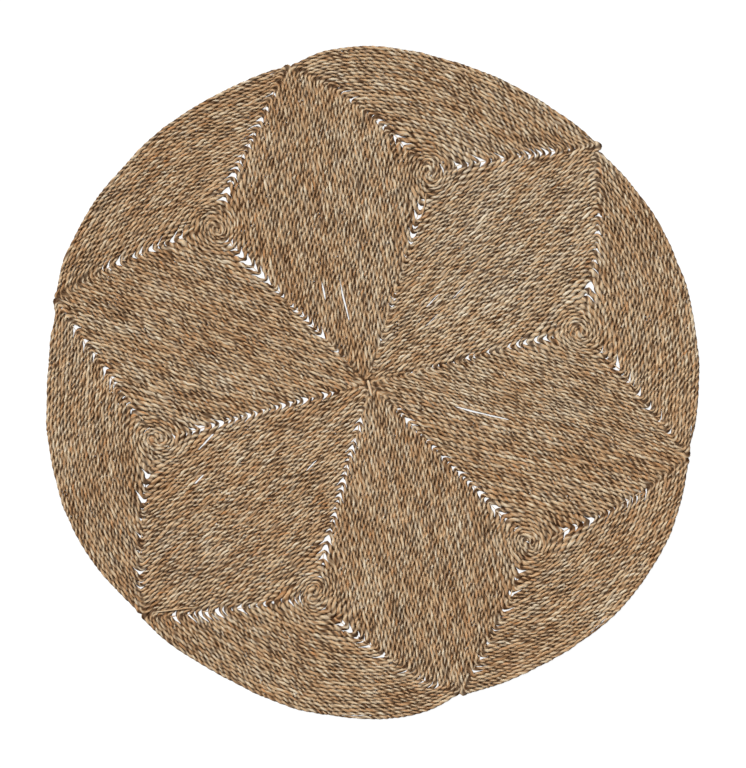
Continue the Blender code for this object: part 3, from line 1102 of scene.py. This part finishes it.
class Sewing:
    """A panel's single stitches, and the thin strands that cross its open corners.

    LACED is the share of open corners with a strand, and ARCH its height at the ends and how far it rises.
    Strands are flatter than wide and thinnest at their ends. Their grass begins anywhere in the first
    PATTERN_START metres of the pattern.
    """

    SIDES = 6
    STEPS = 9
    FLATNESS = 0.6
    THINNEST = 0.2
    PATTERN_START = 3.0
    LACED = 0.45
    LACING_POINTS = 5
    ARCH = (0.0035, 0.0028)
    WIDTHS = (0.0014, 0.0026)
    SLANT = 0.0030

    def __init__(self, panel: CoiledPanel, seed: int) -> None:
        """Keeps the panel that is sewn, after its cord is built.

        Args:
            panel: The panel.
            seed: The start of the sewing's own random numbers.
        """
        self.panel = panel
        self.rng = np.random.default_rng(seed)

    def build(self) -> bpy.types.Object:
        """The strands' mesh, one tube for each.

        Returns:
            An object for the whole panel's sewing.
        """
        name = self.panel.outline.panel.name
        own = [stitch for stitch in STITCHES if stitch.panel == name]
        tubes = [self.strand(np.array(stitch.points), stitch.width) for stitch in own]
        for corner in Corner:
            for number in range(1, ROUNDS):
                if self.panel.route.openness[corner.value, number] > 0 and self.rng.random() < self.LACED:
                    tubes.append(self.lacing(corner, number))
        return tubes_to_object(name + "_sewing", tubes)

    def lacing(self, corner: Corner, number: int) -> Tube:
        """A strand from the middle of one round to the middle of the next, across their open corner.

        Args:
            corner: The corner.
            number: The inner round's number.

        Returns:
            The strand.
        """
        line = self.panel.line
        turns = [self.panel.route.corner_turn(corner, of_round) for of_round in (number - 1, number)]
        ends = np.stack([np.interp(turns, line.turn, column) for column in line.points.T], axis=1)
        ends += self.rng.uniform(-self.SLANT, self.SLANT, (2, 2))
        share = np.linspace(0.0, 1.0, self.LACING_POINTS)[:, None]
        flat = ends[0] + share * (ends[1] - ends[0])
        height = self.ARCH[0] + self.ARCH[1] * np.sin(np.pi * share)
        return self.strand(np.concatenate([flat, height], axis=1), self.rng.uniform(*self.WIDTHS))

    def strand(self, points: Array, width: float) -> Tube:
        """A strand through a few points, thinner at both ends.

        The line is a polynomial through the points. The width is the full one times 1 - (2 s - 1)^6, with s
        the share of the way, but never less than the thinnest.

        Args:
            points: The points, x, y and z in metres from the meeting point.
            width: The strand's full width.

        Returns:
            The tube, in the rug's own frame.
        """
        share = np.linspace(0.0, 1.0, self.STEPS)
        stops = np.linspace(0.0, 1.0, len(points))
        curves = np.polyfit(stops, points, len(points) - 1)
        line = np.stack([np.polyval(column, share) for column in curves.T], axis=1)
        line[:, :2] -= self.panel.middle
        forward = np.gradient(line, axis=0)
        forward /= np.linalg.norm(forward, axis=1)[:, None]
        left = np.cross([0.0, 0.0, 1.0], forward)
        left /= np.linalg.norm(left, axis=1)[:, None]
        up = np.cross(forward, left)
        angles = 2 * np.pi * np.arange(self.SIDES) / self.SIDES
        half = width / 2 * np.maximum(1 - (2 * share - 1) ** 6, self.THINNEST)
        sideways = half[:, None] * np.cos(angles)
        upwards = self.FLATNESS * half[:, None] * np.sin(angles)
        rings = line[:, None] + sideways[..., None] * left[:, None] + upwards[..., None] * up[:, None]
        along = share * np.linalg.norm(points[-1] - points[0]) + self.rng.uniform(0, self.PATTERN_START)
        return Tube(rings, along)


Socket = bpy.types.NodeSocket


class Graph:
    """A node tree, with short ways to add a node and join it up."""

    def __init__(self, tree: bpy.types.NodeTree) -> None:
        """Keeps the tree."""
        self.tree = tree

    def node(self, kind: str, **settings: object) -> bpy.types.Node:
        """A new node.

        Args:
            kind: Its type.
            settings: Some of its settings.

        Returns:
            The node, in the tree.
        """
        made = self.tree.nodes.new(kind)
        for name, value in settings.items():
            setattr(made, name, value)
        return made

    def feed(self, socket: Socket, value: object) -> None:
        """Links a socket to another one, or sets its plain value.

        Args:
            socket: The input.
            value: A socket, a number, a vector, or a colour without its alpha.
        """
        if isinstance(value, Socket):
            self.tree.links.new(value, socket)
        elif isinstance(value, tuple) and len(value) == 3 and socket.type == "RGBA":
            socket.default_value = (*value, 1.0)
        else:
            socket.default_value = value

    def result(self, kind: str, values: tuple[object, ...], **settings: object) -> Socket:
        """The first output of a new node.

        Args:
            kind: The node's type.
            values: What its first inputs are fed with, in their order.
            settings: Some of its settings.

        Returns:
            The output.
        """
        made = self.node(kind, **settings)
        for socket, value in zip(made.inputs, values):
            self.feed(socket, value)
        return made.outputs[0]

    def math(self, operation: str, *values: object, clamp: bool = False) -> Socket:
        """The result of a Math node."""
        return self.result("ShaderNodeMath", values, operation=operation, use_clamp=clamp)

    def remap(self, value: object, *limits: object) -> Socket:
        """A value carried smoothly from between the first two limits to between the last two."""
        return self.result("ShaderNodeMapRange", (value, *limits), interpolation_type="SMOOTHSTEP")

    def vector(self, *values: object) -> Socket:
        """A vector of three values."""
        return self.result("ShaderNodeCombineXYZ", values)

    def noise(self, vector: object, scale: float, detail: float, roughness: float = 0.5) -> Socket:
        """The value of a Noise texture.

        Args:
            vector: The place.
            scale: How many of its waves fit into one unit.
            detail: How many finer waves are added.
            roughness: How much each of them counts.

        Returns:
            The value, from 0 to 1.
        """
        made = self.node("ShaderNodeTexNoise")
        values = {"Vector": vector, "Scale": scale, "Detail": detail, "Roughness": roughness}
        for label, value in values.items():
            self.feed(made.inputs[label], value)
        return made.outputs[0]

    def mix(self, factor: object, first: object, second: object) -> Socket:
        """A mix of two colours.

        Args:
            factor: The second one's share.
            first: A colour.
            second: A colour.

        Returns:
            The mixed colour.
        """
        made = self.node("ShaderNodeMix", data_type="RGBA")
        for socket, value in zip((made.inputs[0], made.inputs[6], made.inputs[7]), (factor, first, second)):
            self.feed(socket, value)
        return made.outputs[2]

    def ramp(self, factor: object, places: tuple[float, ...], colours: tuple[Colour, ...]) -> Socket:
        """The colour of a colour ramp.

        Args:
            factor: The place that is looked up.
            places: The places of the ramp's stops.
            colours: Their colours.

        Returns:
            The colour there.
        """
        made = self.node("ShaderNodeValToRGB")
        elements = made.color_ramp.elements
        while len(elements) < len(places):
            elements.new(0.5)
        for element, place, colour in zip(elements, places, colours):
            element.position = place
            element.color = (*colour, 1.0)
        self.feed(made.inputs[0], factor)
        return made.outputs[0]


Sockets = dict[str, Socket]


def new_group(
    name: str,
    inputs: tuple[str, ...],
    outputs: dict[str, str],
) -> tuple[Graph, Sockets, Sockets]:
    """An empty shader node group.

    Args:
        name: Its name.
        inputs: Its inputs, which are numbers.
        outputs: Its outputs with their socket types.

    Returns:
        A graph for its tree, its input sockets and its output sockets, both by name.
    """
    tree = bpy.data.node_groups.new(name, "ShaderNodeTree")
    for label in inputs:
        tree.interface.new_socket(label, in_out="INPUT", socket_type="NodeSocketFloat")
    for label, kind in outputs.items():
        tree.interface.new_socket(label, in_out="OUTPUT", socket_type=kind)
    graph = Graph(tree)
    given = {socket.name: socket for socket in graph.node("NodeGroupInput").outputs if socket.name}
    wanted = {socket.name: socket for socket in graph.node("NodeGroupOutput").inputs if socket.name}
    return graph, given, wanted


@dataclass(frozen=True)
class GrassTones:
    """The colours of dry seagrass blades, linear RGB, from the painted shade of creases to bleached blades.
    """

    crease: Colour = (0.034, 0.012, 0.003)
    brown: Colour = (0.31, 0.165, 0.075)
    tan: Colour = (0.520, 0.335, 0.182)
    straw: Colour = (0.565, 0.445, 0.288)
    bleached: Colour = (0.640, 0.560, 0.425)
    rust: Colour = (0.47, 0.20, 0.065)
    grey: Colour = (0.42, 0.34, 0.25)


class GrassEffect:
    """The node group of every grass finish: blade by blade tones, fine fibres, and painted shade in the
    creases between plies, in the slots between rounds and on the plies' low flanks.

    Lengths are in metres along the cord. Each noise is given by its scale, detail and roughness. Each row of
    limits has two values of a noise, a depth or a waist, and what they are carried to.
    """

    NAME = "Grass blades"
    BLADE_LENGTH = 0.034
    BLADE_NOISE = (1.0, 2.5, 0.62)
    TURN_SPREAD = 1.5
    TONE_STOPS = (0.30, 0.44, 0.58, 0.72)
    STREAK_LENGTH = 0.028
    STREAKS_AROUND = 9.0
    STREAK_NOISE = (1.0, 1.5, 0.5)
    STREAK_LIMITS = (0.30, 0.70, -0.12, 0.12)
    LAY = 0.036
    BACK_TWIST = 0.6
    TONE_LENGTH = 0.20
    TONE_NOISE = (1.0, 2.0, 0.5)
    TONE_LIMITS = (0.35, 0.65, -0.07, 0.07)
    RUST_SEED = 17.0
    RUST_NOISE = (0.8, 2.0)
    RUST_LIMITS = (0.60, 0.70, 0.0, 0.75)
    GREY_SEED = 41.0
    GREY_NOISE = (0.7, 2.0)
    GREY_LIMITS = (0.56, 0.68, 0.0, 0.6)
    FIBRES_AROUND = 26.0
    FIBRE_LENGTH = 0.022
    FIBRE_NOISE = (1.0, 3.0, 0.6)
    DARK_FIBRE_LIMITS = (0.30, 0.52, 0.55, 0.0)
    # Painted shade: the plies' low flanks, near the cord's middle height, are made browner.
    FLANK_SHADE_LIMITS = (0.10, 0.75, 0.0, 0.32)
    # Painted shade: the slot and waist limits darken the slots between rounds and the waists between the
    # plies.
    SLOT_SHADE_LIMITS = (0.25, 0.85, 0.0, 1.0)
    SLOT_SHADE_WAIST_LIMITS = (0.20, 0.80, 0.06, 1.0)
    SLOT_SHADE_STREAK_LIMITS = (0.30, 0.60, 1.0, 0.85)
    WAIST_SHADE_LIMITS = (0.74, 1.0, 0.0, 0.25)
    ROUGHNESS_LIMITS = (0.3, 0.7, 0.78, 0.56)
    WAIST_RELIEF = -0.35

    def __init__(self, tones: GrassTones) -> None:
        """Keeps the colours."""
        self.tones = tones

    def build(self) -> bpy.types.NodeTree:
        """The group.

        Returns:
            A tree whose inputs are places on the cord and strengths, and whose outputs are Colour, Roughness
            and Height.
        """
        graph, given, wanted = new_group(
            self.NAME,
            ("Along", "Around", "Seed", "Crease", "Paleness", "Depth"),
            {"Colour": "NodeSocketColor", "Roughness": "NodeSocketFloat", "Height": "NodeSocketFloat"},
        )
        along, seed, depth = given["Along"], given["Seed"], given["Depth"]
        turn = graph.math("MULTIPLY", given["Around"], 2 * math.pi)
        waist = graph.math("ABSOLUTE", graph.math("SINE", turn))
        round_x = graph.math("MULTIPLY", graph.math("COSINE", turn), self.TURN_SPREAD)
        round_y = graph.math("MULTIPLY", graph.math("SINE", turn), self.TURN_SPREAD)
        blade_at = graph.math("ADD", graph.math("DIVIDE", along, self.BLADE_LENGTH), seed)
        streak = self.streak(graph, along, turn, seed)
        fibre_at = graph.math("DIVIDE", along, self.FIBRE_LENGTH)
        fibre_round = graph.math("MULTIPLY", given["Around"], self.FIBRES_AROUND)
        fibre = graph.noise(graph.vector(fibre_at, fibre_round, seed), *self.FIBRE_NOISE)

        blade = graph.noise(graph.vector(blade_at, round_x, seed), *self.BLADE_NOISE)
        blade = graph.math("ADD", blade, given["Paleness"])
        blade = graph.math("ADD", blade, graph.remap(streak, *self.STREAK_LIMITS))
        tone_at = graph.math("DIVIDE", along, self.TONE_LENGTH)
        tone = graph.noise(graph.vector(tone_at, seed, 0.0), *self.TONE_NOISE)
        blade = graph.math("ADD", blade, graph.remap(tone, *self.TONE_LIMITS))
        tones = self.tones
        colour = graph.ramp(blade, self.TONE_STOPS, (tones.brown, tones.tan, tones.straw, tones.bleached))
        rust_at = graph.vector(blade_at, round_x, graph.math("ADD", seed, self.RUST_SEED))
        rust = graph.remap(graph.noise(rust_at, *self.RUST_NOISE), *self.RUST_LIMITS)
        colour = graph.mix(rust, colour, tones.rust)
        grey_at = graph.vector(blade_at, round_y, graph.math("ADD", seed, self.GREY_SEED))
        grey = graph.remap(graph.noise(grey_at, *self.GREY_NOISE), *self.GREY_LIMITS)
        colour = graph.mix(grey, colour, tones.grey)
        colour = graph.mix(graph.remap(fibre, *self.DARK_FIBRE_LIMITS), colour, tones.brown)
        # Painted shade: the low flanks of the plies are mixed towards brown.
        colour = graph.mix(graph.remap(depth, *self.FLANK_SHADE_LIMITS), colour, tones.brown)
        # Painted shade: the slots between rounds and the waists between plies are mixed towards the dark
        # crease shade colour.
        slot_shade = graph.remap(depth, *self.SLOT_SHADE_LIMITS)
        slot_shade = graph.math("MULTIPLY", slot_shade, graph.remap(waist, *self.SLOT_SHADE_WAIST_LIMITS))
        slot_shade = graph.math("MULTIPLY", slot_shade, graph.remap(streak, *self.SLOT_SHADE_STREAK_LIMITS))
        crease = graph.math("MAXIMUM", slot_shade, graph.remap(waist, *self.WAIST_SHADE_LIMITS))
        colour = graph.mix(graph.math("MULTIPLY", crease, given["Crease"]), colour, tones.crease)
        graph.feed(wanted["Colour"], colour)
        graph.feed(wanted["Roughness"], graph.remap(fibre, *self.ROUGHNESS_LIMITS))
        lowered = graph.math("MULTIPLY", waist, self.WAIST_RELIEF)
        graph.feed(wanted["Height"], graph.math("ADD", fibre, lowered))
        return graph.tree

    def streak(self, graph: Graph, along: Socket, turn: Socket, seed: Socket) -> Socket:
        """The noise of single blades, which lean back against the twist.

        Args:
            graph: The group's graph.
            along: The distance on the cord.
            turn: The angle around it.
            seed: Where the pattern begins.

        Returns:
            A value from 0 to 1.
        """
        at = graph.math("ADD", graph.math("DIVIDE", along, self.STREAK_LENGTH), seed)
        back = graph.math("MULTIPLY", along, 2 * math.pi * self.BACK_TWIST / self.LAY)
        back = graph.math("ADD", back, turn)
        radius = self.STREAKS_AROUND / (2 * math.pi)
        x = graph.math("MULTIPLY", graph.math("COSINE", back), radius)
        y = graph.math("MULTIPLY", graph.math("SINE", back), radius)
        return graph.noise(graph.vector(at, x, y), *self.STREAK_NOISE)


# The place around which the grass is paler, and how near to it the grass is palest and no paler any more
PALE_PLACE = (0.28, 0.29, 0.0)
PALE_REACH = (0.05, 0.34)

# Cloudy differences all over the rug, as a noise and its share in the tones, and the sheen of dry fibre
MOTTLE_NOISE = (7.0, 3.0, 0.55)
MOTTLE_SHARE = 0.30
SHEEN = 0.08


@dataclass(frozen=True)
class SeagrassFinish:
    """One panel's or strand's grass: where its patterns begin, how much shade is painted into its creases and
    slots, and how pale it is.

    paler is how much paler it is around PALE_PLACE.
    """

    name: str
    seed: float
    crease: float
    paleness: float
    paler: float = 0.0
    relief: float = 0.0006

    def material(self, effect: bpy.types.NodeTree) -> bpy.types.Material:
        """The finish as a material that reads the cord's own map.

        Args:
            effect: The group of GrassEffect.

        Returns:
            A material with colour, roughness and relief from the group, and a faint sheen of dry fibre.
        """
        material = bpy.data.materials.new(self.name)
        material.use_nodes = True
        graph = Graph(material.node_tree)
        shader = material.node_tree.nodes["Principled BSDF"].inputs
        shader["Specular IOR Level"].default_value = SHEEN
        on_cord = graph.node("ShaderNodeSeparateXYZ")
        graph.feed(on_cord.inputs[0], graph.node("ShaderNodeUVMap", uv_map=CORD_MAP).outputs[0])
        in_rug = graph.node("ShaderNodeTexCoord").outputs["Object"]
        split = graph.node("ShaderNodeSeparateXYZ")
        graph.feed(split.inputs[0], in_rug)

        mottle = graph.math("SUBTRACT", graph.noise(in_rug, *MOTTLE_NOISE), 0.5)
        paleness = graph.math("ADD", graph.math("MULTIPLY", mottle, MOTTLE_SHARE), self.paleness)
        away = graph.node("ShaderNodeVectorMath", operation="DISTANCE")
        graph.feed(away.inputs[0], in_rug)
        graph.feed(away.inputs[1], PALE_PLACE)
        pale = graph.remap(away.outputs["Value"], *PALE_REACH, self.paler, 0.0)
        off_middle = graph.math("ABSOLUTE", graph.math("SUBTRACT", split.outputs[2], CordSize.height))
        off_middle = graph.math("DIVIDE", off_middle, CordSize.radius)

        grass = graph.node("ShaderNodeGroup", node_tree=effect)
        for label, value in (
            ("Along", on_cord.outputs[0]),
            ("Around", on_cord.outputs[1]),
            ("Seed", self.seed),
            ("Crease", self.crease),
            ("Paleness", graph.math("ADD", paleness, pale)),
            ("Depth", graph.math("SUBTRACT", 1.0, off_middle, clamp=True)),
        ):
            graph.feed(grass.inputs[label], value)
        relief = graph.node("ShaderNodeBump")
        graph.feed(relief.inputs["Distance"], self.relief)
        graph.feed(relief.inputs["Height"], grass.outputs["Height"])
        graph.feed(shader["Base Color"], grass.outputs["Colour"])
        graph.feed(shader["Roughness"], grass.outputs["Roughness"])
        graph.feed(shader["Normal"], relief.outputs[0])
        return material


PANEL_FINISHES = (
    SeagrassFinish("seagrass_east", 3.1, 1.0, 0.014, paler=0.08),
    SeagrassFinish("seagrass_north_east", 11.7, 1.0, 0.022, paler=0.055),
    SeagrassFinish("seagrass_north_west", 23.9, 1.0, -0.020),
    SeagrassFinish("seagrass_west", 37.3, 1.0, 0.006),
    SeagrassFinish("seagrass_south_west", 52.1, 1.0, 0.006),
    SeagrassFinish("seagrass_south_east", 68.5, 1.0, -0.010),
)

STRAND_FINISH = SeagrassFinish("seagrass_strand", 90.4, 0.0, 0.03, relief=0.0003)


WHITE = (1.0, 1.0, 1.0, 1.0)


@dataclass(frozen=True)
class Studio:
    """The pale floor, the soft light and the camera straight above."""

    floor_size: float = 40.0
    floor_glow: float = 0.92
    floor_roughness: float = 0.9
    floor_colour: Colour = (0.10, 0.10, 0.10)
    photo_width_px: float = 746.0
    photo_height_px: float = 768.0
    metres_a_pixel: float = 0.00227
    meeting_px: tuple[float, float] = (369.0, 383.0)
    camera_distance: float = 5.0
    farthest_seen: float = 100.0
    sensor: float = 36.0
    sun_strength: float = 3.9
    sun_spread_deg: float = 22.0
    sun_from_deg: float = 128.0
    sun_height_deg: float = 47.0
    sky_strength: float = 0.50

    def build(self, middle: Array) -> None:
        """Makes floor, sun, sky and camera.

        Args:
            middle: The middle of the rug's outline, from its meeting point.
        """
        self.add_floor()
        self.add_light()
        self.add_camera(middle)
        bpy.context.scene.view_settings.view_transform = "Standard"

    def add_floor(self) -> None:
        """A white floor under the rug, bright enough to stay white in the rug's gaps."""
        half = self.floor_size / 2
        corners = [(-half, -half, 0), (half, -half, 0), (half, half, 0), (-half, half, 0)]
        mesh = bpy.data.meshes.new("floor")
        mesh.from_pydata(corners, [], [(0, 1, 2, 3)])
        floor = linked("floor", mesh)
        material = bpy.data.materials.new("white_floor")
        material.use_nodes = True
        shader = material.node_tree.nodes["Principled BSDF"].inputs
        shader["Base Color"].default_value = (*self.floor_colour, 1.0)
        shader["Roughness"].default_value = self.floor_roughness
        shader["Emission Color"].default_value = WHITE
        shader["Emission Strength"].default_value = self.floor_glow
        mesh.materials.append(material)

    def add_light(self) -> None:
        """A broad soft sun from the upper left, and an even white sky."""
        lamp = bpy.data.lights.new("soft_sun", "SUN")
        lamp.energy = self.sun_strength
        lamp.angle = math.radians(self.sun_spread_deg)
        sun = linked("soft_sun", lamp)
        sun.rotation_euler = np.radians([90 - self.sun_height_deg, 0, self.sun_from_deg + 90])
        world = bpy.data.worlds.new("white_sky")
        world.use_nodes = True
        graph = Graph(world.node_tree)
        sky = world.node_tree.nodes["Background"]
        sky.inputs["Color"].default_value = WHITE
        path = graph.node("ShaderNodeLightPath")
        seen = graph.math("MULTIPLY", path.outputs["Is Camera Ray"], 1.0 - self.sky_strength)
        graph.feed(sky.inputs["Strength"], graph.math("ADD", seen, self.sky_strength))
        bpy.context.scene.world = world

    def add_camera(self, middle: Array) -> None:
        """A camera straight above the photograph's middle, whose view is as wide as the photograph.

        Args:
            middle: The middle of the rug's outline, from its meeting point.
        """
        lens = bpy.data.cameras.new("camera")
        lens.sensor_width = self.sensor
        lens.lens = self.sensor * self.camera_distance / (self.photo_height_px * self.metres_a_pixel)
        lens.clip_end = self.farthest_seen
        camera = linked("camera", lens)
        right = (self.photo_width_px / 2 - self.meeting_px[0]) * self.metres_a_pixel
        up = (self.meeting_px[1] - self.photo_height_px / 2) * self.metres_a_pixel
        camera.location = (right - middle[0], up - middle[1], self.camera_distance)
        bpy.context.scene.camera = camera


def main() -> None:
    """Builds the studio and the six panels, and reports each."""
    logging.basicConfig(level=logging.INFO, format="%(message)s")
    log = logging.getLogger("round rug")
    ends = [panel.start_deg for panel in PANELS[1:]] + [PANELS[0].start_deg + 360]
    outlines = [PanelOutline(panel, end) for panel, end in zip(PANELS, ends)]
    rim = np.concatenate([outline.rim_line() for outline in outlines])
    middle = (rim.min(axis=0) + rim.max(axis=0)) / 2
    Studio().build(middle)
    effect = GrassEffect(GrassTones()).build()
    strand_material = STRAND_FINISH.material(effect)
    size = CordSize()
    lie = Lie(np.random.default_rng(LIE_SEED))
    for number, (outline, finish) in enumerate(zip(outlines, PANEL_FINISHES)):
        panel = CoiledPanel(outline, size, lie, middle, CORD_SEED + number)
        piece = panel.build()
        strands = Sewing(panel, SEWING_SEED + number).build()
        piece.data.materials.append(finish.material(effect))
        strands.data.materials.append(strand_material)
        panel.declare(piece, [strands])
        log.info("%s: %.2f m of cord, %d faces", piece.name, panel.length, len(piece.data.polygons))


if __name__ == "__main__":
    main()
